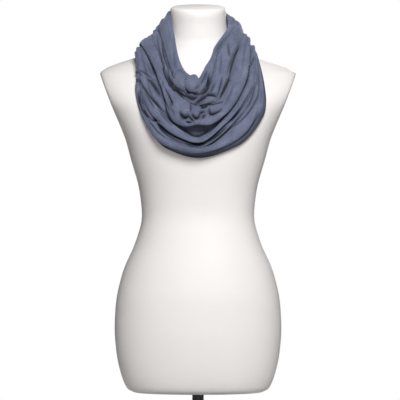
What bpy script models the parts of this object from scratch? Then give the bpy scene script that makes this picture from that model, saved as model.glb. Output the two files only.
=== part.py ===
"""Infinity scarf of soft jersey, worn in two windings on a limbless display form with its stand.

Metres, +Z up. The front of the form looks towards -Y, and the origin is the middle of the base
plate's underside. Tables are in millimetres, with heights counted from the form's lower edge.
"""

import math
from collections import namedtuple

import bpy
import numpy as np
from mathutils import Vector
from mathutils.bvhtree import BVHTree

MM = 0.001

# Stand: a round steel plate, a screwed collar and a pole that goes up into the form.
BASE_RADIUS = 175.0
BASE_THICK = 6.0
BASE_EDGE = 2.0
COLLAR_RADIUS = 22.0
COLLAR_HEIGHT = 26.0
POLE_RADIUS = 11.5
POLE_SHOWN = 200.0
SOCKET_RADIUS = 12.2
SOCKET_DEPTH = 70.0
SEAM_GAP = 0.3
FORM_BASE = BASE_THICK + POLE_SHOWN

# Display form: horizontal sections, bottom to neck. front and back are counted from the pole.
FormSection = namedtuple("FormSection", "height half_width front back power")
FORM_SECTIONS = [
    FormSection(*row)
    for row in (
        (0, 130, 78, 90, 2.3),
        (5, 140, 86, 99, 2.3),
        (16, 147, 92, 106, 2.3),
        (40, 155.5, 98, 114, 2.3),
        (79, 163.5, 103, 121, 2.3),
        (127, 167, 106, 125, 2.3),
        (175, 164.5, 106, 122, 2.3),
        (239, 150.5, 100, 108, 2.3),
        (303, 123.5, 92, 88, 2.3),
        (351, 112, 88, 80, 2.3),
        (399, 116.5, 95, 84, 2.35),
        (463, 133.5, 110, 92, 2.4),
        (508, 146, 118, 97, 2.4),
        (553, 168, 113, 102, 2.3),
        (583, 189, 102, 104, 2.2),
        (613, 200, 84, 104, 2.05),
        (633, 200, 68, 102, 1.9),
        (648, 184, 55, 99, 1.75),
        (660, 154, 47, 96, 1.7),
        (672, 118, 41, 93, 1.75),
        (684, 90, 38, 89, 1.85),
        (698, 70, 37, 84, 2.0),
        (715, 60.5, 39, 78, 2.0),
        (738, 57, 43, 72, 2.0),
        (759, 56, 48, 66, 2.0),
        (765, 54, 46, 64, 2.0),
        (767.5, 50, 42, 60, 2.0),
    )
]
FORM_SIDES = 48
NECK_TILT = math.radians(8)
NECK_TILT_FROM = 700.0
NECK_TOP = 767.5
ARM_CUT_HEIGHT = 523.0
ARM_CUT_HALF_WIDTH = 151.5
ARM_CUT_SLOPE = 0.385
ARM_CUT_EDGE = 5.0

# Scarf: each row is one crease or hem line, all round the neck. chest and shoulder are half widths
# 60 and 90 degrees from the front, z_* are heights, and y_* the depths at the front and the back. The
# lower plan_power is, the squarer is the line's front half seen from above.
CreaseLine = namedtuple(
    "CreaseLine",
    "name chest_left shoulder_left chest_right shoulder_right "
    "z_front z_left_30 z_left_60 z_left_90 z_left_125 "
    "z_right_30 z_right_60 z_right_90 z_right_125 z_back y_front y_back plan_power",
)
UPPER_LINES = [
    CreaseLine(*row)
    for row in (
        ("inner_hem", 40, 57, 30, 59, 620, 633, 676, 762, 764, 648, 676, 728, 762, 752, -94, 78, 0.72),
        ("first_crease", 56, 78, 36, 76, 588, 601, 645, 722, 742, 610, 663, 732, 748, 738, -113, 89, 0.72),
        ("second_crease", 66, 92, 64, 91, 565, 592, 638, 710, 722, 578, 634, 716, 724, 716, -128, 98, 0.7),
        ("upper_hem", 77, 116, 92, 103, 518, 532, 616, 694, 694, 549, 612, 700, 696, 690, -147, 109, 0.66),
    )
]
LOWER_LINES = [
    CreaseLine(*row)
    for row in (
        ("hidden_edge", 62, 94, 76, 90, 545, 552, 600, 690, 704, 562, 606, 690, 704, 712, -112, 92, 0.66),
        ("third_crease", 92, 117, 92, 107, 508, 535, 592, 688, 688, 545, 606, 692, 690, 686, -127, 105, 0.6),
        ("fourth_crease", 105, 120, 104, 110, 491, 517, 578, 683, 674, 534, 592, 686, 674, 666, -132, 111, 0.54),
        ("fifth_crease", 109, 121, 114, 111, 484, 505, 570, 680, 662, 524, 582, 681, 662, 650, -134, 114, 0.5),
        ("turned_edge", 108, 122, 122, 113, 475, 490, 560, 677, 650, 497, 560, 678, 650, 636, -132, 114, 0.46),
        ("outer_hem", 102, 121, 129, 116, 465, 482, 548, 674, 638, 488, 550, 675, 638, 622, -117, 105, 0.36),
    )
]
RIDGE_Y = 15.0
BACK_PLAN_POWER = 0.72
STATION_ANGLES = (-180, -125, -90, -60, -30, 0, 30, 60, 90, 125, 180)
NAPE_WIDENING = 1.06
BACK_NARROWING = 0.98

# A roll of cloth stands between two creases: how far it swells and sags at four stations.
Roll = namedtuple(
    "Roll", "steps swell_left swell_front swell_right swell_back sag_left sag_front sag_right sag_back"
)
SHOULDER_SHARE = 0.45
CHEST_ANGLE = 48
UPPER_ROLLS = [
    Roll(*row)
    for row in (
        (6, 5.5, 7, 6, 5, 1, 3, 1, 1),
        (5, 6.0, 5, 6, 5, 2, 2, 1, 1),
        (8, 8.5, 6, 8, 7, 3, 1, 2, 2),
    )
]
LOWER_ROLLS = [
    Roll(*row)
    for row in (
        (3, 2, -4, 2, 3, 0, 0, 0, 0),
        (5, 7, 10, 6, 5, 2, 4, 2, 2),
        (4, 5, 7, 7, 5, 2, 3, 2, 2),
        (5, 5, 6, 8, 5, 2, 3, 3, 2),
        (3, -2, -4, 2, 3, 0, 0, 0, 1),
    )
]
SWELL_LIMIT = 0.5
CREASE_POWER = 0.7

# Shorter creases, each a path seen from the front that passes through its middle point. Those of the
# upper winding run out from its gathered centre seam, and those of the lower one hang between the shoulders.
ShortCrease = namedtuple("ShortCrease", "from_x from_z mid_x mid_z to_x to_z depth width")
UPPER_CREASES = [
    ShortCrease(*row)
    for row in (
        (-48, 624, -36, 603, -3, 591, 5.0, 8.0),
        (-24, 588, -12, 582, -1, 583, 6.0, 8.0),
        (-2, 571, 10, 580, 31, 585, 6.5, 8.0),
        (4, 564, 21, 568, 45, 573, 5.0, 7.5),
        (22, 556, 31, 551, 47, 555, 4.0, 7.5),
        (-37, 551, -27, 546, -16, 547, 5.0, 7.5),
        (-20, 544, -15, 540, -9, 535, 4.0, 7.0),
        (-10, 552, -3, 546, 6, 551, 4.0, 7.0),
        (22, 632, 17, 612, 7, 592, 5.0, 8.0),
        (33, 612, 28, 600, 24, 591, 3.5, 7.5),
        (46, 620, 42, 600, 36, 584, 4.0, 8.0),
        (60, 624, 52, 604, 42, 584, 3.5, 8.0),
        (84, 692, 70, 660, 61, 626, 4.0, 9.0),
    )
]
LOWER_CREASES = [
    ShortCrease(*row)
    for row in (
        (-111, 636, -93, 618, -74, 590, 5.0, 8.5),
        (-116, 636, -110, 627, -103, 616, 3.5, 8.0),
        (-101, 589, -89, 573, -76, 556, 3.5, 8.0),
        (58, 530, 83, 561, 107, 604, 3.0, 8.0),
        (100, 632, 94, 616, 86, 597, 3.5, 8.0),
    )
]
# Soft lumps that the same seam pushes out at the end of the left inner roll.
Lump = namedtuple("Lump", "x z radius_x radius_z height")
LUMPS = [Lump(-8, 608, 14, 16, 14), Lump(-35, 616, 14, 17, 11), Lump(14, 575, 12, 7, 4)]

CLOTH_THICK = 2.2
CLOTH_TO_FORM = 1.0
CLOTH_TO_CLOTH = 0.8
AROUND = 84
FRONT_DENSITY = 2.0
FRONT_REACH = 60.0
ARCH_HEIGHT = 11.0
ARCH_HALF_WIDTH = 20.0
CLEARING_ROUNDS = 6
SPREAD_ROUNDS = 3

FORM_WHITE = (0.87, 0.85, 0.83, 1.0)
STAND_BLACK = (0.03, 0.03, 0.03, 1.0)
SCARF_BLUE = (0.135, 0.16, 0.25, 1.0)


def clear_scene():
    for old in list(bpy.data.objects):
        bpy.data.objects.remove(old)


def material(name, colour, roughness, metallic=0.0):
    made = bpy.data.materials.new(name)
    made.use_nodes = True
    shader = made.node_tree.nodes["Principled BSDF"]
    shader.inputs["Base Color"].default_value = colour
    shader.inputs["Roughness"].default_value = roughness
    shader.inputs["Metallic"].default_value = metallic
    made.diffuse_color = colour
    return made


def add_object(name, points_mm, faces, finish):
    """One named object from points in millimetres, with smooth shading."""
    mesh = bpy.data.meshes.new(name)
    mesh.from_pydata([Vector(p) * MM for p in points_mm], [], faces)
    mesh.validate()
    mesh.shade_smooth()
    mesh.set_sharp_from_angle(angle=math.radians(40))
    made = bpy.data.objects.new(name, mesh)
    bpy.context.scene.collection.objects.link(made)
    made.data.materials.append(finish)
    return made


def monotone(stations, values, at):
    """Smooth interpolation that never overshoots its stations (Fritsch and Carlson's slopes)."""
    stations = np.asarray(stations, float)
    values = np.asarray(values, float)
    step = np.diff(stations)
    slope = np.diff(values) / step
    tangent = np.zeros(len(values))
    same_way = slope[:-1] * slope[1:] > 0
    before, after = 2 * step[1:] + step[:-1], step[1:] + 2 * step[:-1]
    safe = np.where(same_way, slope[:-1] * slope[1:], 1.0)
    blend = safe * (before + after) / (before * slope[1:] + after * slope[:-1] + 1e-12)
    tangent[1:-1] = np.where(same_way, blend, 0.0)
    k = np.clip(np.searchsorted(stations, at, side="right") - 1, 0, len(step) - 1)
    t = (at - stations[k]) / step[k]
    return (
        values[k] * (1 + 2 * t) * (1 - t) ** 2
        + tangent[k] * step[k] * t * (1 - t) ** 2
        + values[k + 1] * t**2 * (3 - 2 * t)
        + tangent[k + 1] * step[k] * t**2 * (t - 1)
    )


def ring_faces(rings, sides, closed=False):
    """Quads between rings of points that are stored one after another."""
    last = rings if closed else rings - 1
    return [
        (
            ring * sides + side,
            ring * sides + (side + 1) % sides,
            (ring + 1) % rings * sides + (side + 1) % sides,
            (ring + 1) % rings * sides + side,
        )
        for ring in range(last)
        for side in range(sides)
    ]


def arm_cut(x, height):
    """Brings the shoulder's end back to the slanted plane where the arm would start."""
    plane = ARM_CUT_HALF_WIDTH + ARM_CUT_SLOPE * (height - ARM_CUT_HEIGHT)
    over = (abs(x) - plane) / ARM_CUT_EDGE
    softened = plane - ARM_CUT_EDGE * math.log1p(math.exp(-min(max(over, -30), 30)))
    return math.copysign(min(abs(x), softened + ARM_CUT_EDGE * math.log(2)) if over > -6 else abs(x), x)


def form_ring(section):
    """One level section of the form, as points in millimetres."""
    centre_y = (section.back - section.front) / 2
    half_depth = (section.back + section.front) / 2
    tilt = max(0.0, (section.height - NECK_TILT_FROM) / (NECK_TOP - NECK_TILT_FROM))
    ring = []
    for side in range(FORM_SIDES):
        turn = 2 * math.pi * side / FORM_SIDES
        c, s = math.cos(turn), math.sin(turn)
        x = section.half_width * math.copysign(abs(c) ** (2 / section.power), c)
        y = half_depth * math.copysign(abs(s) ** (2 / section.power), s)
        z = section.height + y * math.tan(NECK_TILT) * tilt
        if ARM_CUT_HEIGHT < section.height < NECK_TILT_FROM:
            x = arm_cut(x, section.height)
        ring.append((x, centre_y + y, FORM_BASE + z))
    return ring


def socket_ring(height):
    return [
        (
            SOCKET_RADIUS * math.cos(2 * math.pi * side / FORM_SIDES),
            SOCKET_RADIUS * math.sin(2 * math.pi * side / FORM_SIDES),
            FORM_BASE + height,
        )
        for side in range(FORM_SIDES)
    ]


def build_form(finish):
    """The whole form, closed at the neck, with a blind socket for the pole in its underside."""
    rings = [socket_ring(SOCKET_DEPTH), socket_ring(0)]
    rings += [form_ring(section) for section in FORM_SECTIONS]
    faces = ring_faces(len(rings), FORM_SIDES)
    faces.append(tuple(reversed(range(FORM_SIDES))))
    top = (len(rings) - 1) * FORM_SIDES
    faces.append(tuple(top + side for side in range(FORM_SIDES)))
    points = [point for ring in rings for point in ring]
    return add_object("display_form", points, faces, finish)


def turned(name, profile, sides, finish):
    """A closed solid turned about Z from (radius, height) pairs, bottom to top."""
    points = [
        (r * math.cos(2 * math.pi * k / sides), r * math.sin(2 * math.pi * k / sides), z)
        for r, z in profile
        for k in range(sides)
    ]
    faces = ring_faces(len(profile), sides)
    faces.append(tuple(reversed(range(sides))))
    faces.append(tuple((len(profile) - 1) * sides + k for k in range(sides)))
    return add_object(name, points, faces, finish)


def build_stand(finish):
    turned(
        "base_plate",
        (
            (BASE_RADIUS - BASE_EDGE, 0),
            (BASE_RADIUS, BASE_EDGE),
            (BASE_RADIUS, BASE_THICK - BASE_EDGE),
            (BASE_RADIUS - BASE_EDGE, BASE_THICK),
        ),
        72,
        finish,
    )
    pole_foot = BASE_THICK + SEAM_GAP
    pole_top = FORM_BASE + SOCKET_DEPTH - SEAM_GAP
    collar_top = pole_foot + COLLAR_HEIGHT
    turned(
        "pole",
        (
            (COLLAR_RADIUS, pole_foot),
            (COLLAR_RADIUS, collar_top - 3),
            (COLLAR_RADIUS - 3, collar_top),
            (POLE_RADIUS, collar_top + 2),
            (POLE_RADIUS, pole_top),
        ),
        32,
        finish,
    )


def line_points(line, angle):
    """Points of one crease line at the given angles, 0 at the front and 90 at the image's right."""
    to_width = 1 / math.sin(math.radians(60))
    shoulders = (line.shoulder_left + line.shoulder_right) / 2
    left, right = line.chest_left * to_width, line.chest_right * to_width
    widths = (
        BACK_NARROWING * shoulders,
        NAPE_WIDENING * line.shoulder_left,
        line.shoulder_left,
        left,
        left,
        (left + right) / 2,
        right,
        right,
        line.shoulder_right,
        NAPE_WIDENING * line.shoulder_right,
        BACK_NARROWING * shoulders,
    )
    heights = (
        line.z_back,
        line.z_left_125,
        line.z_left_90,
        line.z_left_60,
        line.z_left_30,
        line.z_front,
        line.z_right_30,
        line.z_right_60,
        line.z_right_90,
        line.z_right_125,
        line.z_back,
    )
    turn = np.radians(angle)
    x = monotone(STATION_ANGLES, widths, angle) * np.sin(turn)
    reach = np.where(np.cos(turn) > 0, line.y_front - RIDGE_Y, line.y_back - RIDGE_Y)
    power = np.where(np.cos(turn) > 0, line.plan_power, BACK_PLAN_POWER)
    y = RIDGE_Y + reach * np.abs(np.cos(turn)) ** power
    z = FORM_BASE + monotone(STATION_ANGLES, heights, angle)
    return np.stack([x, y, z], axis=-1)


def walk_angles(count, reference):
    """Angles at even steps along a reference line, closer together at the gathered front."""
    fine = np.linspace(-180, 180, 2881)
    points = line_points(reference, fine)
    density = 1 + FRONT_DENSITY * np.exp(-((points[:, 0] / FRONT_REACH) ** 2)) * (np.abs(fine) < 90)
    step = np.linalg.norm(np.diff(points, axis=0), axis=1) * (density[1:] + density[:-1]) / 2
    along = np.concatenate([[0], np.cumsum(step)])
    return np.interp(np.arange(count) * along[-1] / count, along, fine)


def by_side(angle, left, front, right, back):
    """A value given at both sides of the chest, the front and the back, less over the shoulders."""
    stations = (-180, -95, -CHEST_ANGLE, 0, CHEST_ANGLE, 95, 180)
    over_left, over_right = SHOULDER_SHARE * left, SHOULDER_SHARE * right
    return monotone(stations, (back, over_left, left, front, right, over_right, back), angle)


def surface_normals(grid):
    """Unit normals of a grid that closes round its first axis, pointing away from the neck."""
    around = np.roll(grid, -1, axis=0) - np.roll(grid, 1, axis=0)
    across = np.gradient(grid, axis=1)
    normal = np.cross(across, around)
    normal /= np.linalg.norm(normal, axis=2, keepdims=True) + 1e-9
    return normal


def draped_grid(lines, rolls, angles):
    """The cloth's middle surface: rolls of cloth hung between the crease lines."""
    knots = np.stack([line_points(line, angles) for line in lines], axis=1)
    padded = np.concatenate(
        [2 * knots[:, :1] - knots[:, 1:2], knots, 2 * knots[:, -1:] - knots[:, -2:-1]], axis=1
    )
    base, swell, sag = [], [], []
    for k, roll in enumerate(rolls):
        p0, p1, p2, p3 = (padded[:, k + i][:, None] for i in range(4))
        last = k == len(rolls) - 1
        t = np.linspace(0, 1, roll.steps + 1)[: None if last else -1][None, :, None]
        base.append(
            0.5 * (2 * p1 + (p2 - p0) * t + (2 * p0 - 5 * p1 + 4 * p2 - p3) * t**2
                   + (3 * p1 - p0 - 3 * p2 + p3) * t**3)
        )
        width = np.linalg.norm(p2 - p1, axis=2)
        t = t[..., 0]
        height = by_side(angles, roll.swell_left, roll.swell_front, roll.swell_right, roll.swell_back)
        height = np.clip(height[:, None], -SWELL_LIMIT * width, SWELL_LIMIT * width)
        droop = by_side(angles, roll.sag_left, roll.sag_front, roll.sag_right, roll.sag_back)
        swell.append(height * np.sin(np.pi * t) ** CREASE_POWER)
        sag.append(np.minimum(droop[:, None], 0.25 * width) * np.sin(np.pi * t**1.6))
    base, swell, sag = (np.concatenate(part, axis=1) for part in (base, swell, sag))
    normal = surface_normals(base)
    down = np.gradient(base, axis=1)
    down /= np.linalg.norm(down, axis=2, keepdims=True)
    return base + normal * swell[..., None] + down * sag[..., None]


def crease_depth(x, z, crease):
    """How deep a short crease presses in at points seen from the front, fading at both of its ends."""
    t = np.linspace(0, 1, 25)
    bend_x = 4 * crease.mid_x - crease.from_x - crease.to_x
    bend_z = 4 * crease.mid_z - crease.from_z - crease.to_z
    path_x = crease.from_x * (1 - t) ** 2 + bend_x * t * (1 - t) + crease.to_x * t**2
    path_z = crease.from_z * (1 - t) ** 2 + bend_z * t * (1 - t) + crease.to_z * t**2
    away = np.hypot(x[..., None] - path_x, z[..., None] - path_z)
    nearest = away.argmin(axis=-1)
    fade = np.sin(np.pi * np.clip(0.1 + 0.8 * t, 0, 1))[nearest]
    return crease.depth * fade * np.cos(np.pi / 2 * np.clip(away.min(axis=-1) / crease.width, 0, 1)) ** 2


def pressed(grid, creases, lumps):
    """Adds short creases and soft lumps to the front of a winding."""
    normal = surface_normals(grid)
    x, z = grid[..., 0], grid[..., 2] - FORM_BASE
    offset = np.zeros_like(x)
    for lump in lumps:
        away = ((x - lump.x) / lump.radius_x) ** 2 + ((z - lump.z) / lump.radius_z) ** 2
        offset += lump.height * np.clip(1 - away, 0, 1) ** 0.8
    for crease in creases:
        offset -= crease_depth(x, z, crease)
    in_front = np.clip((RIDGE_Y - grid[..., 1]) / 20, 0, 1)
    return grid + normal * (offset * in_front)[..., None]


def lift_arch(grid, rows):
    """Raises the upper hem a little over the middle of the front, where it bridges the roll below."""
    share = np.linspace(0, 1, rows) ** 2
    grid = grid.copy()
    bump = np.exp(-((grid[:, -1:, 0] / ARCH_HALF_WIDTH) ** 2)) * (grid[:, -1:, 1] < RIDGE_Y)
    grid[:, -rows:, 2] += ARCH_HEIGHT * bump * share
    return grid


def push_needed(grid, tree, clearance, reach):
    """How far each point has to move so that it lies at the clearance in front of a surface."""
    push = np.zeros_like(grid)
    for index in np.ndindex(grid.shape[:2]):
        point = Vector(grid[index])
        place, normal, _, away = tree.find_nearest(point, reach)
        if place is None:
            continue
        height = (point - place).dot(normal)
        if height < clearance and (height < 0 or height > 0.5 * away):
            push[index] = place + normal * clearance - point
    return push


def spread(field):
    """A field of moves, softened between neighbours round and across the winding."""
    for _ in range(SPREAD_ROUNDS):
        field = (np.roll(field, 1, axis=0) + 2 * field + np.roll(field, -1, axis=0)) / 4
        padded = np.pad(field, ((0, 0), (1, 1), (0, 0)), mode="edge")
        field = (padded[:, :-2] + 2 * field + padded[:, 2:]) / 4
    return field


def kept_clear(grid, tree, clearance, reach):
    """Lifts the cloth off a surface in soft steps, then sets what is still too near at the clearance."""
    for _ in range(CLEARING_ROUNDS):
        grid = grid + 1.6 * spread(push_needed(grid, tree, clearance, reach))
    return grid + push_needed(grid, tree, clearance, reach)


def tree_of(points, faces):
    return BVHTree.FromPolygons([Vector(p) for p in points], faces)


def grid_faces(around, across):
    return [
        (
            a * across + b,
            (a + 1) % around * across + b,
            (a + 1) % around * across + b + 1,
            a * across + b + 1,
        )
        for a in range(around)
        for b in range(across - 1)
    ]


def cloth_wall(name, grid, finish):
    """A closed wall of cloth round a draped grid, with a narrow rim along each hem."""
    around, across, _ = grid.shape
    normal = surface_normals(grid)
    outer = grid + normal * CLOTH_THICK / 2
    inner = grid - normal * CLOTH_THICK / 2
    profile = np.concatenate([outer, inner[:, ::-1]], axis=1)
    faces = [tuple(reversed(face)) for face in wrap_faces(around, 2 * across)]
    return add_object(name, profile.reshape(-1, 3), faces, finish)


def wrap_faces(around, across):
    """Quads of a grid that closes both ways."""
    return [
        (
            a * across + b,
            (a + 1) % around * across + b,
            (a + 1) % around * across + (b + 1) % across,
            a * across + (b + 1) % across,
        )
        for a in range(around)
        for b in range(across)
    ]


def build_scarf(form, finish):
    form_tree = tree_of([v.co / MM for v in form.data.vertices], [tuple(p.vertices) for p in form.data.polygons])
    angles = walk_angles(AROUND, UPPER_LINES[-1])
    clearance = CLOTH_THICK / 2 + CLOTH_TO_FORM
    lower = pressed(draped_grid(LOWER_LINES, LOWER_ROLLS, angles), LOWER_CREASES, ())
    lower = kept_clear(lower, form_tree, clearance, 60.0)
    upper = draped_grid(UPPER_LINES, UPPER_ROLLS, angles)
    upper = pressed(lift_arch(upper, UPPER_ROLLS[-1].steps), UPPER_CREASES, LUMPS)
    upper = kept_clear(upper, form_tree, clearance, 60.0)
    around, across, _ = lower.shape
    lower_tree = tree_of(lower.reshape(-1, 3), [tuple(reversed(f)) for f in grid_faces(around, across)])
    upper = kept_clear(upper, lower_tree, CLOTH_THICK + CLOTH_TO_CLOTH, 14.0)
    cloth_wall("upper_winding", upper, finish)
    cloth_wall("lower_winding", lower, finish)


def main():
    clear_scene()
    white = material("form_shell", FORM_WHITE, 0.4)
    black = material("stand_steel", STAND_BLACK, 0.3)
    blue = material("scarf_jersey", SCARF_BLUE, 0.9)
    form = build_form(white)
    build_stand(black)
    build_scarf(form, blue)


main()
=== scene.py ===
"""Infinity scarf of heathered jersey in two windings on a limbless display form."""

import math
from collections import namedtuple

import bmesh
import bpy
import numpy as np
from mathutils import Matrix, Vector
from mathutils.bvhtree import BVHTree
from mathutils.kdtree import KDTree


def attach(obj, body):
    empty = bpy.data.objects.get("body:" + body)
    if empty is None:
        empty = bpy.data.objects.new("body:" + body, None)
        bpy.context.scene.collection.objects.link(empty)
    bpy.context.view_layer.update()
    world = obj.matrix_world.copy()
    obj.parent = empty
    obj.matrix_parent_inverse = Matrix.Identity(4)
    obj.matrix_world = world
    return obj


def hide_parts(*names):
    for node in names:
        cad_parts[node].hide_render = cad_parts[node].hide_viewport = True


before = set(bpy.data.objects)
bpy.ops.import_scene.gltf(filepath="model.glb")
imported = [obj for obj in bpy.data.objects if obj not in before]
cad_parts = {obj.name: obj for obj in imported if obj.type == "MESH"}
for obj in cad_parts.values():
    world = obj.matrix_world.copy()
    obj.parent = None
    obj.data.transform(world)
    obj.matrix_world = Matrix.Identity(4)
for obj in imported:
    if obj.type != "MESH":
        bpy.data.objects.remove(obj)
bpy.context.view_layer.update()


# Stand: a round plate cut from sheet steel, with its rim eased, and a steel tube that is screwed to
# it through a collar. Both are powder coated in satin black. The tube goes up into the form.


class Wire:
    """One node's output, which adds its own Math nodes when it is used in a sum."""

    def __init__(self, finish, socket):
        self.finish = finish
        self.socket = socket

    def maths(self, operation, other):
        return self.finish.node("ShaderNodeMath", {"operation": operation}, {0: self, 1: other})

    def __add__(self, other):
        return self.maths("ADD", other)

    def __mul__(self, other):
        return self.maths("MULTIPLY", other)

    __radd__ = __add__
    __rmul__ = __mul__


class Finish:
    """A material that starts as one Principled shader with constant sockets."""

    def __init__(self, name, constants):
        self.material = bpy.data.materials.new(name)
        self.material.use_nodes = True
        self.tree = self.material.node_tree
        self.shader = self.tree.nodes["Principled BSDF"]
        for socket, value in constants.items():
            self.shader.inputs[socket].default_value = value

    def feed(self, socket, value):
        """Links a wire to a socket, or sets the socket to a plain value."""
        if isinstance(value, Wire):
            self.tree.links.new(value.socket, socket)
        else:
            socket.default_value = value

    def node(self, kind, settings, sockets, out=0):
        """Adds a node of any kind; stops are a colour ramp's places and colours."""
        made = self.tree.nodes.new(kind)
        for name, value in settings.items():
            if name == "stops":
                ramp = made.color_ramp
                while len(ramp.elements) < len(value):
                    ramp.elements.new(0.5)
                for element, (place, colour) in zip(ramp.elements, value):
                    element.position = place
                    element.color = colour
            else:
                setattr(made, name, value)
        for key, value in sockets.items():
            self.feed(made.inputs[key], value)
        return Wire(self, made.outputs[out])

    def noise(self, where, scale, detail=2.0, roughness=0.5):
        sockets = {"Vector": where, "Scale": scale, "Detail": detail, "Roughness": roughness}
        return self.node("ShaderNodeTexNoise", {}, sockets)

    def mixed(self, share, first, second):
        sockets = {0: share, 6: first, 7: second}
        return self.node("ShaderNodeMix", {"data_type": "RGBA"}, sockets, out=2)

    def stretched(self, where, factors):
        sockets = {"Vector": where, "Scale": factors}
        return self.node("ShaderNodeMapping", {}, sockets)

    def shade(self, **wires):
        """Feeds the Principled shader's sockets, named with _ for a space."""
        for name, wire in wires.items():
            self.feed(self.shader.inputs[name.replace("_", " ")], wire)

    def raised(self, height, distance, strength=1.0):
        sockets = {"Height": height, "Distance": distance, "Strength": strength}
        self.shade(Normal=self.node("ShaderNodeBump", {}, sockets))


def black_coat(name, grain_scale):
    """Satin black powder coat: a fine orange-peel grain with dust-dulled patches."""
    finish = Finish(name, {"Specular IOR Level": 0.45})
    where = finish.node("ShaderNodeTexCoord", {}, {}, out=3)
    grain = finish.noise(where, grain_scale, 3.0)
    dull = finish.noise(where, 14.0, 4.0, 0.6)
    finish.shade(
        Base_Color=finish.mixed(dull, (0.012, 0.012, 0.012, 1), (0.034, 0.033, 0.031, 1)),
        Roughness=0.26 + dull * 0.22 + grain * 0.06,
    )
    finish.raised(grain, 0.00012)
    return finish.material


def steel_tube(name):
    """Black tube with faint drawn lines along its length."""
    finish = Finish(name, {"Metallic": 0.35, "Specular IOR Level": 0.5})
    where = finish.node("ShaderNodeTexCoord", {}, {}, out=3)
    drawn = finish.noise(finish.stretched(where, (900, 900, 6)), 1.0, 2.0)
    finish.shade(
        Base_Color=finish.mixed(drawn, (0.010, 0.010, 0.010, 1), (0.075, 0.070, 0.064, 1)),
        Roughness=0.28 + drawn * 0.2,
    )
    finish.raised(drawn, 0.00005)
    return finish.material


def dress_node(node, material):
    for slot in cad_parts[node].material_slots:
        slot.material = material


dress_node("base_plate", black_coat("black_powder_coat", 900.0))
dress_node("pole", steel_tube("black_drawn_tube"))


# Display form: a limbless torso moulded as one hollow shell and sprayed satin off-white, with a
# flat oval where each arm would start. A matt lid closes the neck and tilts forward a little.

MM = 0.001
FORM_BASE = 206.0
FormSection = namedtuple("FormSection", "height half_width front back power")
FORM_SECTIONS = [
    FormSection(*row)
    for row in (
        (0, 130, 78, 90, 2.3),
        (5, 140, 86, 99, 2.3),
        (16, 147, 92, 106, 2.3),
        (40, 155.5, 98, 114, 2.3),
        (79, 163.5, 103, 121, 2.3),
        (127, 167, 106, 125, 2.3),
        (175, 164.5, 106, 122, 2.3),
        (239, 150.5, 100, 108, 2.3),
        (303, 123.5, 92, 88, 2.3),
        (351, 112, 88, 80, 2.3),
        (399, 116.5, 95, 84, 2.35),
        (463, 133.5, 110, 92, 2.4),
        (508, 146, 118, 97, 2.4),
        (553, 168, 113, 102, 2.3),
        (583, 189, 102, 104, 2.2),
        (613, 200, 84, 104, 2.05),
        (633, 200, 68, 102, 1.9),
        (648, 184, 55, 99, 1.75),
        (660, 154, 47, 96, 1.7),
        (672, 118, 41, 93, 1.75),
        (684, 90, 38, 89, 1.85),
        (698, 70, 37, 84, 2.0),
        (715, 60.5, 39, 78, 2.0),
        (738, 57, 43, 72, 2.0),
        (761, 56, 48, 66, 2.0),
        (767.5, 54.5, 46.5, 64.5, 2.0),
        (770, 51, 43, 61, 2.0),
    )
]
FORM_SIDES = 128
RINGS_PER_SECTION = 4
NECK_TILT = math.radians(10.5)
NECK_TILT_FROM = 700.0
NECK_TOP = FORM_SECTIONS[-1].height
ARM_CUT_HEIGHT = 523.0
ARM_CUT_HALF_WIDTH = 151.5
ARM_CUT_SLOPE = 0.385
ARM_CUT_EDGE = 3.0
LID_FROM = 755.0
LID_RIM_SLOPE = 0.35
FULL_GLOSS = 1.0
LID_GLOSS = 0.15
WARM_WHITE = (0.775, 0.748, 0.735, 1)
PALE_WHITE = (0.815, 0.797, 0.785, 1)


def monotone(stations, values, at, flat_ends=False):
    """Smooth interpolation that never overshoots its stations (Fritsch and Carlson's slopes)."""
    stations = np.asarray(stations, float)
    values = np.asarray(values, float)
    step = np.diff(stations)
    slope = np.diff(values) / step
    tangent = np.zeros(len(values))
    same_way = slope[:-1] * slope[1:] > 0
    before, after = 2 * step[1:] + step[:-1], step[1:] + 2 * step[:-1]
    safe = np.where(same_way, slope[:-1] * slope[1:], 1.0)
    blend = safe * (before + after) / (before * slope[1:] + after * slope[:-1] + 1e-12)
    tangent[1:-1] = np.where(same_way, blend, 0.0)
    if not flat_ends:
        tangent[0], tangent[-1] = slope[0], slope[-1]
    k = np.clip(np.searchsorted(stations, at, side="right") - 1, 0, len(step) - 1)
    t = (at - stations[k]) / step[k]
    return (
        values[k] * (1 + 2 * t) * (1 - t) ** 2
        + tangent[k] * step[k] * t * (1 - t) ** 2
        + values[k + 1] * t**2 * (3 - 2 * t)
        + tangent[k + 1] * step[k] * t**2 * (t - 1)
    )


def section_at(height):
    """The form's section at any height, read smoothly between the table's rows."""
    rows = np.array(FORM_SECTIONS, float)
    values = [float(monotone(rows[:, 0], rows[:, k], np.array([height]))[0]) for k in range(1, 5)]
    return FormSection(height, *values)


def armless(x, height):
    """Brings the shoulder's end back to the slanted plane where the arm would start."""
    plane = ARM_CUT_HALF_WIDTH + ARM_CUT_SLOPE * (height - ARM_CUT_HEIGHT)
    over = (abs(x) - plane) / ARM_CUT_EDGE
    if over < -6:
        return x
    softened = plane - ARM_CUT_EDGE * math.log1p(math.exp(-min(over, 30)))
    return math.copysign(min(abs(x), softened + ARM_CUT_EDGE * math.log(2)), x)


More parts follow.
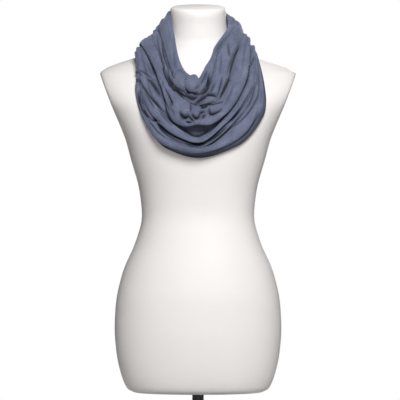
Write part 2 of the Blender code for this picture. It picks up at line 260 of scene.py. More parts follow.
def set_ring(ring, section):
    """Moves the points of a unit circle to one section of the form, in metres."""
    centre_y = (section.back - section.front) / 2
    half_depth = (section.back + section.front) / 2
    tilt = max(0.0, (section.height - NECK_TILT_FROM) / (NECK_TOP - NECK_TILT_FROM))
    for vertex in ring:
        c, s = vertex.co.x, vertex.co.y
        x = section.half_width * math.copysign(abs(c) ** (2 / section.power), c)
        y = half_depth * math.copysign(abs(s) ** (2 / section.power), s)
        z = section.height + y * math.tan(NECK_TILT) * tilt
        if ARM_CUT_HEIGHT < section.height < NECK_TILT_FROM:
            x = armless(x, section.height)
        vertex.co = Vector((x, centre_y + y, FORM_BASE + z)) * MM


def new_piece(name, shell):
    """An object at the origin from a finished bmesh, shaded smooth."""
    mesh = bpy.data.meshes.new(name)
    shell.to_mesh(mesh)
    shell.free()
    mesh.shade_smooth()
    made = bpy.data.objects.new(name, mesh)
    bpy.context.scene.collection.objects.link(made)
    return made


def mould_form():
    """The form's shell: rings from the table, bridged and closed, with the lid's own material."""
    shell = bmesh.new()
    heights = []
    for low, high in zip(FORM_SECTIONS, FORM_SECTIONS[1:]):
        heights += list(np.linspace(low.height, high.height, RINGS_PER_SECTION, endpoint=False))
    heights.append(NECK_TOP)
    loops = []
    for height in heights:
        ring = bmesh.ops.create_circle(shell, segments=FORM_SIDES, radius=1.0)["verts"]
        set_ring(ring, section_at(height))
        loops.append(list({edge for vertex in ring for edge in vertex.link_edges}))
    for lower, upper in zip(loops, loops[1:]):
        bmesh.ops.bridge_loops(shell, edges=lower + upper)
    for rim in (loops[0], loops[-1]):
        bmesh.ops.contextual_create(shell, geom=rim)
    bmesh.ops.recalc_face_normals(shell, faces=shell.faces)
    for face in shell.faces:
        at_top = face.calc_center_median().z > (FORM_BASE + LID_FROM) * MM
        face.material_index = int(at_top and face.normal.z > LID_RIM_SLOPE)
    return new_piece("form_shell", shell)


def satin_white(name, gloss):
    """Sprayed off-white: a faint peel, a little warmer in broad patches, dulled by handling."""
    shine = {"Specular IOR Level": 0.5 * gloss, "Coat Weight": 0.08 * gloss}
    finish = Finish(name, {**shine, "Coat Roughness": 0.3})
    where = finish.node("ShaderNodeTexCoord", {}, {}, out=3)
    patches = finish.noise(where, 5.0, 3.0, 0.55)
    peel = finish.noise(where, 420.0, 2.0)
    handled = finish.noise(where, 26.0, 4.0, 0.6)
    finish.shade(
        Base_Color=finish.mixed(patches, WARM_WHITE, PALE_WHITE),
        Roughness=(0.8 - 0.44 * gloss) + handled * 0.12 + peel * 0.03,
    )
    finish.raised(peel, 0.00006)
    return finish.material


form_shell = mould_form()
form_shell.data.materials.append(satin_white("satin_off_white", FULL_GLOSS))
form_shell.data.materials.append(satin_white("matt_neck_lid", LID_GLOSS))
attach(form_shell, "root")
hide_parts("display_form")


# Lower winding: the outer stretch of the one long jersey loop. It hangs from shoulder to shoulder
# in soft rolls, and its edge turns under over the chest. The cloth is cut single, with a rolled
# raw edge.

CreaseLine = namedtuple(
    "CreaseLine",
    "name chest_left shoulder_left chest_right shoulder_right "
    "z_front z_left_30 z_left_60 z_left_90 z_left_125 "
    "z_right_30 z_right_60 z_right_90 z_right_125 z_back y_front y_back plan_power",
)
LOWER_LINES = [
    CreaseLine(*row)
    for row in (
        (
            "hidden_edge", 62, 94, 76, 90, 545, 552, 600, 699, 714,
            562, 606, 706, 716, 722, -112, 92, 0.64,
        ),
        (
            "third_crease", 92, 117, 92, 107, 505, 535, 592, 688, 688,
            545, 606, 692, 690, 686, -127, 105, 0.54,
        ),
        (
            "fourth_crease", 105, 120, 104, 110, 491, 517, 578, 683, 674,
            534, 592, 686, 674, 666, -132, 111, 0.52,
        ),
        (
            "fifth_crease", 109, 121, 114, 111, 484, 505, 570, 680, 662,
            524, 582, 681, 662, 650, -134, 114, 0.5,
        ),
        (
            "turned_edge", 108, 122, 122, 113, 475, 490, 560, 677, 650,
            497, 560, 678, 650, 636, -132, 114, 0.46,
        ),
        (
            "outer_hem", 102, 121, 129, 116, 465, 482, 548, 674, 638,
            488, 550, 675, 638, 622, -117, 105, 0.36,
        ),
    )
]
RIDGE_Y = 15.0
BACK_PLAN_POWER = 0.72
STATION_ANGLES = (-180, -125, -90, -60, -30, 0, 30, 60, 90, 125, 180)
NAPE_WIDENING = 1.06
BACK_NARROWING = 0.98

# A roll of cloth stands between two creases: how far it swells and sags at four stations, and how
# deep the cleft at its lower edge is there.
Roll = namedtuple(
    "Roll",
    "steps swell_left swell_front swell_right swell_back "
    "sag_left sag_front sag_right sag_back cleft_left cleft_front cleft_right cleft_back",
)
LOWER_ROLLS = [
    Roll(*row)
    for row in (
        (26, 5, -7, 2, 3, 0, 0, 0, 0, 3, 3, 4, 3),
        (24, 9, 13, 7, 6, 4, 4.5, 3, 3, 4, 6, 5, 4),
        (20, 7, 9, 8, 6, 4, 4, 3, 3, 3, 2, 4, 4),
        (20, 6, 5, 8, 6, 3, 4, 4, 3, 2, 1, 2, 3),
        (14, -3, -1, 2, 3, 0, 0, 0, 1, 0, 0, 0, 0),
    )
]
SHOULDER_SHARE = 0.45
CHEST_ANGLE = 48
SWELL_LIMIT = 0.6
CREASE_POWER = 0.5

# Creases seen from the front: each runs from, through and to a point. lip is the soft ridge
# beside it.
FrontCrease = namedtuple("FrontCrease", "from_x from_z mid_x mid_z to_x to_z depth width lip")
LOWER_CREASES = [
    FrontCrease(*row)
    for row in (
        (-124, 640, -118, 634, -110, 626, 3.0, 3.8, 0.6),
        (-118, 637, -104, 633, -83, 611, 3.4, 3.0, 0.6),
        (-98, 619, -86, 604, -72, 583, 7.0, 4.6, 1.4),
        (-119, 622, -93, 586, -64, 553, 6.5, 4.0, 1.4),
        (-103, 591, -94, 577, -85, 561, 3.0, 3.2, 0.6),
        (-116, 596, -104, 554, -75, 536, 6.0, 4.2, 1.2),
        (-77, 563, -66, 544, -50, 530, 3.4, 3.4, 0.8),
        (-78, 531, -54, 507, -23, 492, 6.5, 5.0, 1.2),
        (-28, 495, -4, 489, 20, 496, 8.0, 5.2, 0.8),
        (-25, 521, -4, 509, 19, 519, 6.0, 3.4, 0.8),
        (14, 494, 35, 507, 55, 527, 6.5, 5.0, 1.0),
        (-30, 488, -14, 485, 5, 485, 1.6, 2.4, 0.5),
        (13, 487, 48, 509, 92, 558, 5.5, 3.8, 1.0),
        (91, 557, 105, 581, 112, 613, 4.0, 3.4, 0.8),
        (58, 530, 83, 561, 107, 604, 5.0, 3.4, 0.8),
        (100, 632, 94, 616, 86, 597, 5.0, 3.4, 0.8),
        (111, 664, 107, 656, 103, 648, 5.0, 3.6, 0.6),
        (115, 636, 115, 616, 110, 596, 2.0, 3.0, 0.6),
        (118, 560, 104, 524, 78, 498, 3.0, 3.6, 0.6),
        (-100, 655, -96, 640, -86, 622, 1.6, 4.0, 0.4),
    )
]
# Creases that run along the winding, from one angle to another and from one share of its width to
# another. They carry the folds on over the shoulders and round the nape.
FlowCrease = namedtuple("FlowCrease", "from_angle to_angle from_share to_share depth width lip")
LOWER_FLOWS = [
    FlowCrease(*row)
    for row in (
        (70, 150, 0.30, 0.22, 2.4, 3.2, 0.8),
        (95, 215, 0.42, 0.36, 2.2, 3.0, 0.8),
        (130, 250, 0.60, 0.68, 3.0, 3.4, 1.0),
        (84, 170, 0.74, 0.83, 2.4, 3.0, 0.8),
        (160, 285, 0.26, 0.34, 2.6, 3.2, 0.8),
        (190, 262, 0.52, 0.47, 2.2, 2.8, 0.6),
        (215, 300, 0.80, 0.72, 2.6, 3.0, 0.8),
        (150, 205, 0.14, 0.17, 2.0, 3.4, 0.6),
        (28, 84, 0.90, 0.80, 1.6, 3.6, 0.8),
        (-84, -40, 0.70, 0.78, 1.8, 3.2, 0.6),
        (-70, -25, 0.88, 0.94, 1.6, 3.2, 0.6),
        (-20, 34, 0.86, 0.89, 1.4, 3.4, 0.4),
    )
]
# Slow waves that keep any stretch from lying dead even: how often round and across, and height.
Wave = namedtuple("Wave", "round_count across_count phase height")
WAVES = [
    Wave(*row)
    for row in (
        (2, 5.5, 0.4, 0.9),
        (3, 9.0, 2.1, 0.55),
        (5, 7.0, 4.4, 0.5),
        (4, 14.0, 1.3, 0.35),
        (7, 19.0, 5.2, 0.22),
        (11, 11.0, 3.0, 0.2),
    )
]

AROUND = 460
FRONT_DENSITY = 1.8
FRONT_REACH = 60.0
JERSEY_THICK = 1.3
SET_FROM_FORM = 1.9
FORM_REACH = 60.0
CLEARING_ROUNDS = 6
SPREAD_ROUNDS = 6
PATH_POINTS = 101
CREASE_DEEPENING = 1.25
CLEFT_WIDTH = 5.5
FACING_FADE = 20.0
LOWER_WAVE_SHARE = 1.0

# Painted shade: how dark the jersey's colour is painted where it is folded in, and how far the
# turned-under edge is painted in shade at the left, the front, the right and the back.
FULL_SHADE_DEPTH = 4.0
SHADE_POWER = 1.1
CREASE_SHADE = 0.94
DEEP_SHADE = (0.012, 0.014, 0.024, 1)
UNDERSIDE_SHADE = (0.85, 1.0, 1.0, 0.2)


def line_points(line, angle):
    """Points of one crease line at the given angles, 0 at the front and 90 at the image's right."""
    to_width = 1 / math.sin(math.radians(60))
    shoulders = (line.shoulder_left + line.shoulder_right) / 2
    left, right = line.chest_left * to_width, line.chest_right * to_width
    widths = (
        BACK_NARROWING * shoulders,
        NAPE_WIDENING * line.shoulder_left,
        line.shoulder_left,
        left,
        left,
        (left + right) / 2,
        right,
        right,
        line.shoulder_right,
        NAPE_WIDENING * line.shoulder_right,
        BACK_NARROWING * shoulders,
    )
    heights = (
        line.z_back,
        line.z_left_125,
        line.z_left_90,
        line.z_left_60,
        line.z_left_30,
        line.z_front,
        line.z_right_30,
        line.z_right_60,
        line.z_right_90,
        line.z_right_125,
        line.z_back,
    )
    turn = np.radians(angle)
    x = monotone(STATION_ANGLES, widths, angle, flat_ends=True) * np.sin(turn)
    reach = np.where(np.cos(turn) > 0, line.y_front - RIDGE_Y, line.y_back - RIDGE_Y)
    power = np.where(np.cos(turn) > 0, line.plan_power, BACK_PLAN_POWER)
    y = RIDGE_Y + reach * np.abs(np.cos(turn)) ** power
    z = FORM_BASE + monotone(STATION_ANGLES, heights, angle, flat_ends=True)
    return np.stack([x, y, z], axis=-1)


def walk_angles(count, reference):
    """Angles at even steps along a reference line, closer together at the gathered front."""
    fine = np.linspace(-180, 180, 2881)
    points = line_points(reference, fine)
    density = 1 + FRONT_DENSITY * np.exp(-((points[:, 0] / FRONT_REACH) ** 2)) * (np.abs(fine) < 90)
    step = np.linalg.norm(np.diff(points, axis=0), axis=1) * (density[1:] + density[:-1]) / 2
    along = np.concatenate([[0], np.cumsum(step)])
    return np.interp(np.arange(count) * along[-1] / count, along, fine)


def by_side(angle, left, front, right, back):
    """A value given at both sides of the chest, the front and the back, less over the shoulders."""
    stations = (-180, -95, -CHEST_ANGLE, 0, CHEST_ANGLE, 95, 180)
    over_left, over_right = SHOULDER_SHARE * left, SHOULDER_SHARE * right
    values = (back, over_left, left, front, right, over_right, back)
    return monotone(stations, values, angle, flat_ends=True)


def cloth_normals(grid):
    """Unit normals of a grid that closes round its first axis, pointing away from the neck."""
    around = np.roll(grid, -1, axis=0) - np.roll(grid, 1, axis=0)
    across = np.gradient(grid, axis=1)
    normal = np.cross(across, around)
    return normal / (np.linalg.norm(normal, axis=2, keepdims=True) + 1e-9)


def draped_grid(lines, rolls, angles):
    """The cloth's middle surface: rolls of cloth hung between the crease lines."""
    knots = np.stack([line_points(line, angles) for line in lines], axis=1)
    padded = np.concatenate(
        [2 * knots[:, :1] - knots[:, 1:2], knots, 2 * knots[:, -1:] - knots[:, -2:-1]], axis=1
    )
    base, swell, sag = [], [], []
    for k, roll in enumerate(rolls):
        p0, p1, p2, p3 = (padded[:, k + i][:, None] for i in range(4))
        last = k == len(rolls) - 1
        t = np.linspace(0, 1, roll.steps + 1)[: None if last else -1][None, :, None]
        bend = 2 * p0 - 5 * p1 + 4 * p2 - p3
        twist = 3 * p1 - p0 - 3 * p2 + p3
        base.append(0.5 * (2 * p1 + (p2 - p0) * t + bend * t**2 + twist * t**3))
        width = np.linalg.norm(p2 - p1, axis=2)
        t = t[..., 0]
        swells = (roll.swell_left, roll.swell_front, roll.swell_right, roll.swell_back)
        height = by_side(angles, *swells)
        height = np.clip(height[:, None], -SWELL_LIMIT * width, SWELL_LIMIT * width)
        sags = (roll.sag_left, roll.sag_front, roll.sag_right, roll.sag_back)
        droop = by_side(angles, *sags)
        swell.append(height * np.sin(np.pi * t) ** CREASE_POWER)
        sag.append(np.minimum(droop[:, None], 0.25 * width) * np.sin(np.pi * t**1.6))
    base, swell, sag = (np.concatenate(part, axis=1) for part in (base, swell, sag))
    normal = cloth_normals(base)
    down = np.gradient(base, axis=1)
    down /= np.linalg.norm(down, axis=2, keepdims=True)
    return base + normal * swell[..., None] + down * sag[..., None]


def trough(away, beside, depth, width, lip):
    """A cleft between two round shoulders of cloth, with a soft ridge on the side where beside > 0.

    It gives the ridge's height and the cleft's depth.
    """
    valley = np.exp(0.4 - np.sqrt((away / (0.42 * width)) ** 2 + 0.16))
    ridge = np.exp(-(((beside - 1.25 * width) / (0.8 * width)) ** 2))
    return lip * ridge, depth * valley


def front_crease_form(x, z, crease):
    """The ridge and the cleft of a front crease at points in front view, fading at both ends."""
    t = np.linspace(0, 1, PATH_POINTS)
    bend_x = 4 * crease.mid_x - crease.from_x - crease.to_x
    bend_z = 4 * crease.mid_z - crease.from_z - crease.to_z
    path_x = crease.from_x * (1 - t) ** 2 + bend_x * t * (1 - t) + crease.to_x * t**2
    path_z = crease.from_z * (1 - t) ** 2 + bend_z * t * (1 - t) + crease.to_z * t**2
    reach = 4 * crease.width
    near = (np.abs(x - path_x.mean()) < np.ptp(path_x) + reach) & (
        np.abs(z - path_z.mean()) < np.ptp(path_z) + reach
    )
    ridge, cleft = np.zeros_like(x), np.zeros_like(x)
    dx, dz = x[near][:, None] - path_x, z[near][:, None] - path_z
    away = np.hypot(dx, dz)
    nearest = away.argmin(axis=1)
    rows = np.arange(len(nearest))
    along_x, along_z = np.gradient(path_x)[nearest], np.gradient(path_z)[nearest]
    side = (dx[rows, nearest] * along_z - dz[rows, nearest] * along_x) / np.hypot(along_x, along_z)
    beyond = away.min(axis=1)
    fade = np.sin(np.pi * np.clip(0.06 + 0.88 * t, 0, 1))[nearest] ** 0.7
    beside = np.sign(side) * beyond
    depth, lip = fade * crease.depth, fade * crease.lip
    ridge[near], cleft[near] = trough(beyond, beside, depth, crease.width, lip)
    return ridge, cleft


def flow_crease_form(angles, share, width_mm, crease):
    """The ridge and the cleft of a crease along the winding, at every angle and share of width."""
    turn = np.where(angles < crease.from_angle, angles + 360, angles)
    t = (turn - crease.from_angle) / (crease.to_angle - crease.from_angle)
    fade = np.where((t > 0) & (t < 1), np.sin(np.pi * np.clip(t, 0, 1)) ** 0.6, 0.0)[:, None]
    path = crease.from_share + (crease.to_share - crease.from_share) * np.clip(t, 0, 1)
    path = path + 0.02 * np.sin(5.0 * t + 40 * crease.from_share)
    beside = (share - path[:, None]) * width_mm[:, None]
    return trough(np.abs(beside), beside, fade * crease.depth, crease.width, fade * crease.lip)


def spread(field):
    """A field of moves or normals, softened between neighbours round and across the winding."""
    for _ in range(SPREAD_ROUNDS):
        field = (np.roll(field, 1, axis=0) + 2 * field + np.roll(field, -1, axis=0)) / 4
        padded = np.pad(field, ((0, 0), (1, 1), (0, 0)), mode="edge")
        field = (padded[:, :-2] + 2 * field + padded[:, 2:]) / 4
    return field


def creased(grid, angles, rolls, front_creases, flow_creases, lumps, wave_share):
    """Presses the creases into a winding, adds its lumps and waves, and gives the shade to paint
    into its colour.
    """
    normal = spread(cloth_normals(grid))
    normal /= np.linalg.norm(normal, axis=2, keepdims=True)
    x, z = grid[..., 0], grid[..., 2] - FORM_BASE
    across = np.linalg.norm(np.diff(grid, axis=1), axis=2)
    along = np.concatenate([np.zeros((len(grid), 1)), np.cumsum(across, axis=1)], axis=1)
    width_mm = along[:, -1]
    share = along / width_mm[:, None]
    facing = np.clip((2 * RIDGE_Y - grid[..., 1]) / FACING_FADE, 0, 1)
    raised, sunk = np.zeros_like(x), np.zeros_like(x)
    for lump in lumps:
        away = ((x - lump.x) / lump.radius_x) ** 2 + ((z - lump.z) / lump.radius_z) ** 2
        raised += facing * lump.height * np.clip(1 - away, 0, 1) ** lump.softness
    for crease in front_creases:
        ridge, cleft = front_crease_form(x, z, crease)
        raised += facing * ridge
        sunk = np.maximum(sunk, facing * CREASE_DEEPENING * cleft)
    for crease in flow_creases:
        ridge, cleft = flow_crease_form(angles, share, width_mm, crease)
        raised += ridge
        sunk = np.maximum(sunk, cleft)
    row = 0
    for roll in rolls[:-1]:
        row += roll.steps
        clefts = (roll.cleft_left, roll.cleft_front, roll.cleft_right, roll.cleft_back)
        depth = by_side(angles, *clefts)
        away = np.abs(along - along[:, row : row + 1])
        sunk = np.maximum(sunk, trough(away, 0.0, depth[:, None], CLEFT_WIDTH, 0.0)[1])
    turn = np.radians(angles)[:, None]
    for wave in WAVES:
        raised += wave_share * wave.height * np.sin(
            wave.round_count * turn + wave.across_count * share * 2 * math.pi / 3 + wave.phase
        )
    # Painted shade: the clefts' depth, turned into how far the colour is darkened.
    shade = np.clip(sunk / FULL_SHADE_DEPTH, 0, 1) ** SHADE_POWER
    return grid + normal * (raised - sunk)[..., None], shade


def push_needed(grid, tree, clearance, reach):
    """How far each point has to move so that it lies at the clearance in front of a surface."""
    push = np.zeros_like(grid)
    for index in np.ndindex(grid.shape[:2]):
        point = Vector(grid[index])
        place, normal, _, away = tree.find_nearest(point, reach)
        if place is None:
            continue
        height = (point - place).dot(normal)
        if height < clearance and (height < 0 or height > 0.5 * away):
            push[index] = place + normal * clearance - point
    return push


def kept_clear(grid, tree, clearance, reach):
    """Lifts the cloth off a surface in soft steps, then sets what is still too near clear of it."""
    for _ in range(CLEARING_ROUNDS):
        grid = grid + 1.5 * spread(push_needed(grid, tree, clearance, reach))
    return grid + push_needed(grid, tree, clearance, reach)


def grid_faces(around, across):
    """Quads of a grid that closes round its first axis, facing away from the neck."""
    return [
        (
            a * across + b + 1,
            (a + 1) % around * across + b + 1,
            (a + 1) % around * across + b,
            a * across + b,
        )
        for a in range(around)
        for b in range(across - 1)
    ]


def jersey_piece(name, grid, shade):
    """A thin closed shell of jersey on a grid, with a UV map in metres of cloth and its painted
    shade.
    """
    around, across, _ = grid.shape
    mesh = bpy.data.meshes.new(name)
    mesh.from_pydata([Vector(p) * MM for p in grid.reshape(-1, 3)], [], grid_faces(around, across))
    mesh.shade_smooth()
    run = np.linalg.norm(np.diff(grid, axis=0, append=grid[:1]), axis=2).mean(axis=1)
    run = np.concatenate([[0], np.cumsum(run)]) * MM
    climb = np.linalg.norm(np.diff(grid, axis=1), axis=2)
    climb = np.concatenate([np.zeros((around, 1)), np.cumsum(climb, axis=1)], axis=1) * MM
    layer = mesh.uv_layers.new(name="cloth")
    places = np.empty((len(mesh.loops), 2))
    for polygon in mesh.polygons:
        for corner, loop in enumerate(polygon.loop_indices):
            a, b = divmod(mesh.loops[loop].vertex_index, across)
            past_seam = a == 0 and polygon.index >= (around - 1) * (across - 1)
            places[loop] = (run[around if past_seam else a], climb[a, b])
    layer.data.foreach_set("uv", places.ravel())
    # Painted shade, kept on the points for the jersey's material.
    folded_in = mesh.attributes.new("folded_in", "FLOAT", "POINT")
    folded_in.data.foreach_set("value", shade.ravel())
    made = bpy.data.objects.new(name, mesh)
    bpy.context.scene.collection.objects.link(made)
    wall = made.modifiers.new("jersey_thickness", "SOLIDIFY")
    wall.thickness = JERSEY_THICK * MM
    wall.offset = 0
    return made


def heather_jersey(name):
    """Fine single jersey of dark slate and pale blue fibres, with a dry, slightly fuzzy face, and
    painted shade darkening its colour in folds, under the upper hem and on the turned-under edge.
    """
    finish = Finish(
        name,
        {
            "Specular IOR Level": 0.2,
            "Sheen Weight": 0.35,
            "Sheen Roughness": 0.45,
            "Sheen Tint": (0.62, 0.68, 0.86, 1),
        },
    )
    where = finish.node("ShaderNodeUVMap", {"uv_map": "cloth"}, {})
    flecks = finish.noise(finish.stretched(where, (380, 900, 1)), 1.0, 3.0, 0.7)
    slubs = finish.noise(finish.stretched(where, (90, 420, 1)), 1.0, 2.0, 0.6)
    cloudy = finish.noise(finish.stretched(where, (26, 40, 1)), 1.0, 3.0, 0.55)
    mix = flecks * 0.5 + slubs * 0.3 + cloudy * 0.35
    heather = finish.node(
        "ShaderNodeValToRGB",
        {
            "stops": (
                (0.34, (0.050, 0.064, 0.110, 1)),
                (0.50, (0.092, 0.110, 0.170, 1)),
                (0.62, (0.132, 0.150, 0.222, 1)),
                (0.78, (0.225, 0.246, 0.325, 1)),
            )
        },
        {0: mix},
    )
    # Painted shade: the colour goes towards DEEP_SHADE in creases, under the upper hem and on the
    # turned-under edge.
    folded_in = finish.node("ShaderNodeAttribute", {"attribute_name": "folded_in"}, {}, out=2)
    shaded = finish.mixed(folded_in * CREASE_SHADE, heather, DEEP_SHADE)
    stitch = finish.node(
        "ShaderNodeTexWave",
        {"wave_type": "BANDS", "bands_direction": "X"},
        {"Vector": where, "Scale": 260.0, "Distortion": 1.2, "Detail": 1.0},
        out=1,
    )
    course = finish.node(
        "ShaderNodeTexWave",
        {"wave_type": "BANDS", "bands_direction": "Y"},
        {"Vector": where, "Scale": 330.0, "Distortion": 1.6, "Detail": 1.0},
        out=1,
    )
    finish.shade(Base_Color=shaded, Roughness=0.84 + slubs * 0.12)
    finish.raised(stitch * 0.5 + course * 0.35 + flecks * 0.6, 0.00035, 0.8)
    return finish.material


def surface_of(made):
    """A search tree in millimetres of a piece's own points."""
    points = [v.co / MM for v in made.data.vertices]
    return BVHTree.FromPolygons(points, [tuple(p.vertices) for p in made.data.polygons])


jersey = heather_jersey("heather_jersey")
angles = walk_angles(AROUND, LOWER_LINES[0])
lower_grid = draped_grid(LOWER_LINES, LOWER_ROLLS, angles)
lower_grid, lower_shade = creased(
    lower_grid, angles, LOWER_ROLLS, LOWER_CREASES, LOWER_FLOWS, (), LOWER_WAVE_SHARE
)
# Painted shade on the turned-under edge, stronger towards the hem.
turned_band = lower_shade[:, -LOWER_ROLLS[-1].steps :]
towards_hem = np.sqrt(np.linspace(0, 1, LOWER_ROLLS[-1].steps))
np.maximum(turned_band, by_side(angles, *UNDERSIDE_SHADE)[:, None] * towards_hem, out=turned_band)
lower_grid = kept_clear(lower_grid, surface_of(form_shell), SET_FROM_FORM, FORM_REACH)
lower_winding = jersey_piece("scarf_lower_winding", lower_grid, lower_shade)
lower_winding.data.materials.append(jersey)
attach(lower_winding, "root")
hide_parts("lower_winding")


# Upper winding: the inner stretch of the same loop. A gathered centre seam draws it up under the
# throat, where short tucks run out from the seam and the left roll ends in a soft knob.

UPPER_LINES = [
    CreaseLine(*row)
    for row in (
        (
            "inner_hem", 40, 57, 30, 59, 620, 633, 676, 762, 764,
            648, 676, 728, 762, 752, -94, 78, 0.72,
        ),
        (
            "first_crease", 56, 78, 36, 76, 588, 601, 645, 722, 742,
            610, 663, 732, 748, 738, -113, 89, 0.72,
        ),
        (
            "second_crease", 66, 92, 64, 91, 565, 592, 638, 710, 722,
            578, 634, 716, 724, 716, -128, 98, 0.7,
        ),
        (
            "upper_hem", 77, 116, 92, 103, 518, 532, 616, 694, 694,
            549, 612, 700, 696, 690, -147, 109, 0.66,
        ),
    )
]
UPPER_ROLLS = [
    Roll(*row)
    for row in (
        (26, 6.5, 7, 6, 6, 3, 3, 2, 2, 2, 5, 3, 4),
        (24, 5.0, 6, 6, 6, 0.5, 3, 2, 2, 2.5, 3, 3, 4),
        (44, 9.5, 7, 9, 8, 5, 2, 4, 3, 0, 0, 0, 0),
    )
]
UPPER_CREASES = [
    FrontCrease(*row)
    for row in (
        (-51, 634, -42, 602, -2, 591, 4.6, 4.2, 1.2),
        (-24, 590, -14, 583, -2, 585, 9.0, 7.5, 0.6),
        (-17, 623, -21, 616, -25, 608, 3.0, 3.6, 0.3),
        (1, 610, 0, 602, -7, 597, 2.6, 4.6, 0.2),
        (-67, 652, -59, 618, -26, 580, 6.5, 3.4, 0.6),
        (-58, 646, -50, 608, -12, 577, 8.0, 3.4, 0.8),
        (-47, 621, -38, 638, -24, 621, 2.2, 3.0, 0.3),
        (-16, 571, -14, 562, -15, 553, 4.4, 3.6, 0.4),
        (-35, 551, -27, 543, -18, 547, 10.0, 5.4, 1.2),
        (-18, 547, -14, 541, -8, 536, 7.0, 4.2, 0.8),
        (-24, 535, -18, 533, -12, 534, 5.0, 3.8, 0.6),
        (-34, 540, -26, 543, -18, 541, 2.4, 3.4, 0.4),
        (-12, 550, -3, 542, 4, 551, 9.0, 5.0, 0.8),
        (2, 550, 6, 553, 12, 554, 6.0, 4.0, 0.6),
        (13, 549, 11, 545, 8, 541, 7.0, 4.0, 0.6),
        (-4, 569, 8, 580, 17, 586, 12.0, 6.0, 2.4),
        (12, 584, 22, 588, 36, 584, 8.0, 5.4, 1.6),
        (4, 567, 10, 563, 20, 568, 8.0, 5.0, 0.8),
        (14, 566, 30, 571, 48, 574, 5.6, 3.8, 1.6),
        (22, 559, 27, 550, 45, 558, 8.0, 4.6, 1.0),
        (33, 611, 28, 600, 24, 592, 4.0, 3.6, 0.6),
        (47, 622, 42, 600, 36, 584, 4.6, 3.6, 0.8),
        (62, 628, 54, 606, 42, 582, 6.2, 3.4, 0.8),
        (83, 692, 70, 660, 62, 627, 6.2, 3.4, 0.8),
        (76, 684, 64, 655, 56, 628, 3.2, 3.6, 0.8),
        (18, 635, 12, 622, 5, 609, 4.4, 3.6, 0.8),
        (21, 626, 20, 606, 6, 590, 8.5, 5.4, 1.0),
        (52, 703, 44, 690, 34, 675, 3.6, 3.6, 0.8),
        (60, 693, 61, 676, 63, 664, 3.0, 3.8, 0.5),
        (46, 674, 45, 650, 41, 627, 1.8, 4.0, 0.6),
        (-48, 684, -46, 658, -41, 639, 1.6, 4.6, 0.5),
        (-82, 706, -75, 674, -66, 643, 4.4, 3.8, 0.8),
        (-72, 697, -66, 666, -56, 641, 5.0, 3.8, 1.0),
        (-74, 606, -67, 581, -55, 557, 3.0, 3.4, 0.8),
        (-62, 590, -54, 565, -45, 545, 2.0, 3.8, 0.5),
        (70, 610, 62, 588, 50, 566, 1.8, 4.0, 0.6),
    )
]
UPPER_FLOWS = [
    FlowCrease(*row)
    for row in (
        (82, 165, 0.16, 0.12, 2.4, 3.4, 0.8),
        (100, 235, 0.30, 0.24, 2.6, 3.4, 0.8),
        (75, 140, 0.62, 0.70, 2.2, 3.2, 0.8),
        (120, 260, 0.72, 0.66, 3.0, 3.6, 1.0),
        (150, 240, 0.86, 0.90, 2.4, 3.0, 0.8),
        (185, 280, 0.46, 0.52, 2.8, 3.4, 0.8),
        (205, 292, 0.14, 0.20, 2.0, 3.2, 0.6),
        (225, 296, 0.80, 0.72, 2.6, 3.2, 0.8),
        (60, 110, 0.86, 0.80, 2.0, 3.0, 0.6),
    )
]
# Soft lumps that the gathered seam pushes out at the end of the left inner roll, and beside it.
Lump = namedtuple("Lump", "x z radius_x radius_z height softness")
LUMPS = [
    Lump(-10, 608, 14, 19, 13, 0.85),
    Lump(-31, 613, 18, 24, 9, 2.0),
    Lump(-21, 610, 18, 14, 2, 1.5),
    Lump(14, 574, 13, 7, 3.5, 1.2),
    Lump(-24, 556, 13, 8, 2.5, 1.2),
    Lump(18, 558, 14, 6, 2.0, 1.2),
    Lump(-4, 536, 9, 6, 2.0, 1.2),
]
ARCH_HEIGHT = 11.0
ARCH_HALF_WIDTH = 20.0
UPPER_WAVE_SHARE = 0.8
SET_FROM_CLOTH = 2.4
CLOTH_REACH = 14.0
# Painted shadow of the upper hem on the lower winding: its reach, and its wider reach in the
# opening at the front.
HEM_SHADE_REACH = 3.6
OPENING_SHADE_REACH = 9.0
OPENING_HALF_WIDTH = 26.0


def lifted_arch(grid, rows):
    """Raises the upper hem over the middle of the front, where it bridges the roll below."""
    share = np.linspace(0, 1, rows) ** 2
    grid = grid.copy()
    bump = np.exp(-((grid[:, -1:, 0] / ARCH_HALF_WIDTH) ** 2)) * (grid[:, -1:, 1] < RIDGE_Y)
    grid[:, -rows:, 2] += ARCH_HEIGHT * bump * share
    return grid


def shade_along_hem(under, grid, shade, hem):
    """Paints the shadow of a hem into the colour of the cloth below it, reaching further in the
    opening at the front.
    """
    tree = KDTree(len(hem) - 1)
    for index, (first, second) in enumerate(zip(hem, hem[1:])):
        tree.insert(Vector((first + second) / 2), index)
    tree.balance()
    away = np.array([tree.find(Vector(point))[2] for point in grid.reshape(-1, 3)])
    x, y = grid[..., 0].ravel(), grid[..., 1].ravel()
    in_opening = np.exp(-((x / OPENING_HALF_WIDTH) ** 2)) * (y < 0)
    reach = HEM_SHADE_REACH + OPENING_SHADE_REACH * in_opening
    shade = np.maximum(shade.ravel(), np.exp(-((away / reach) ** 2)))
    under.data.attributes["folded_in"].data.foreach_set("value", shade)


upper_grid = draped_grid(UPPER_LINES, UPPER_ROLLS, angles)
upper_grid = lifted_arch(upper_grid, UPPER_ROLLS[-1].steps)
upper_grid, upper_shade = creased(
    upper_grid, angles, UPPER_ROLLS, UPPER_CREASES, UPPER_FLOWS, LUMPS, UPPER_WAVE_SHARE
)
upper_grid = kept_clear(upper_grid, surface_of(form_shell), SET_FROM_FORM, FORM_REACH)
upper_grid = kept_clear(upper_grid, surface_of(lower_winding), SET_FROM_CLOTH, CLOTH_REACH)
upper_winding = jersey_piece("scarf_upper_winding", upper_grid, upper_shade)
# Paints the upper hem's shadow into the lower winding's colour.
shade_along_hem(lower_winding, lower_grid, lower_shade, upper_grid[:, -1])
upper_winding.data.materials.append(jersey)
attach(upper_winding, "root")
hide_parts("upper_winding")


# Studio: a pale round floor, a big soft light high in front, a weak one low in front and another
# behind, and a level camera with a long lens at half the form's height, as in a catalogue picture.

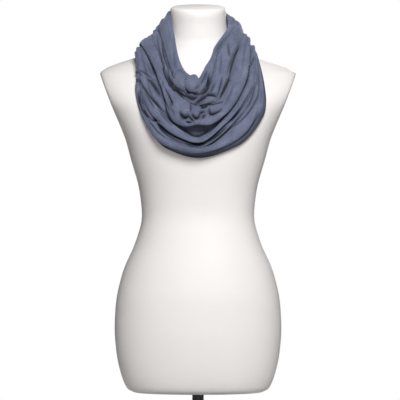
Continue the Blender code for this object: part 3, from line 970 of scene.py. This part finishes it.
FLOOR_RADIUS = 1.9
FLOOR_DROP = 0.0005
SURROUND_GLOW = 0.15
CAMERA_DISTANCE = 4.5
VIEW_WIDTH = 0.8
VIEW_CENTRE = (0.004, 0.0, 0.589)
StudioLight = namedtuple("StudioLight", "name x y z aim_z size watts")
LIGHTS = (
    StudioLight("key", 0.32, -2.2, 2.15, 1.4, 1.1, 80.0),
    StudioLight("front_fill", 0.5, -3.8, 1.0, 1.1, 1.6, 6.5),
    StudioLight("back_fill", 0.5, 2.8, 1.7, 0.7, 1.4, 27.0),
)


def studio_floor():
    disc = bmesh.new()
    bmesh.ops.create_circle(disc, cap_ends=True, segments=96, radius=FLOOR_RADIUS)
    bmesh.ops.translate(disc, verts=disc.verts, vec=Vector((0, 0, -FLOOR_DROP)))
    bmesh.ops.recalc_face_normals(disc, faces=disc.faces)
    return new_piece("studio_floor", disc)


def floor_paint(name):
    """Matt pale paint, a little uneven."""
    finish = Finish(name, {"Roughness": 0.8})
    where = finish.node("ShaderNodeTexCoord", {}, {}, out=3)
    broad = finish.noise(where, 1.5, 2.0)
    finish.shade(Base_Color=finish.mixed(broad, (0.62, 0.62, 0.62, 1), (0.66, 0.66, 0.66, 1)))
    return finish.material


def soft_light(light):
    lamp = bpy.data.lights.new(light.name, "AREA")
    lamp.shape = "DISK"
    lamp.size = light.size
    lamp.energy = light.watts
    made = bpy.data.objects.new(light.name, lamp)
    made.location = (light.x, light.y, light.z)
    aim = Vector((0, 0, light.aim_z)) - made.location
    made.rotation_euler = aim.to_track_quat("-Z", "Y").to_euler()
    bpy.context.scene.collection.objects.link(made)


def white_surround():
    """Plain white behind the form, with only a dim glow from it on the form's sides."""
    world = bpy.data.worlds.new("white_surround")
    bpy.context.scene.world = world
    world.use_nodes = True
    nodes, links = world.node_tree.nodes, world.node_tree.links
    glow, backdrop = nodes["Background"], nodes.new("ShaderNodeBackground")
    glow.inputs["Color"].default_value = (1.0, 0.94, 0.92, 1)
    glow.inputs["Strength"].default_value = SURROUND_GLOW
    backdrop.inputs["Color"].default_value = (1, 1, 1, 1)
    backdrop.inputs["Strength"].default_value = 1.0
    path, choice = nodes.new("ShaderNodeLightPath"), nodes.new("ShaderNodeMixShader")
    links.new(path.outputs["Is Camera Ray"], choice.inputs[0])
    links.new(glow.outputs[0], choice.inputs[1])
    links.new(backdrop.outputs[0], choice.inputs[2])
    links.new(choice.outputs[0], nodes["World Output"].inputs["Surface"])


floor = studio_floor()
floor.data.materials.append(floor_paint("pale_floor"))
white_surround()
for light in LIGHTS:
    soft_light(light)

camera = bpy.data.cameras.new("front_camera")
camera.sensor_width = 36.0
camera.lens = camera.sensor_width * CAMERA_DISTANCE / VIEW_WIDTH
view = bpy.data.objects.new("front_camera", camera)
view.location = Vector(VIEW_CENTRE) - Vector((0, CAMERA_DISTANCE, 0))
view.rotation_euler = (math.radians(90), 0, 0)
bpy.context.scene.collection.objects.link(view)
bpy.context.scene.camera = view
bpy.context.scene.view_settings.view_transform = "Standard"
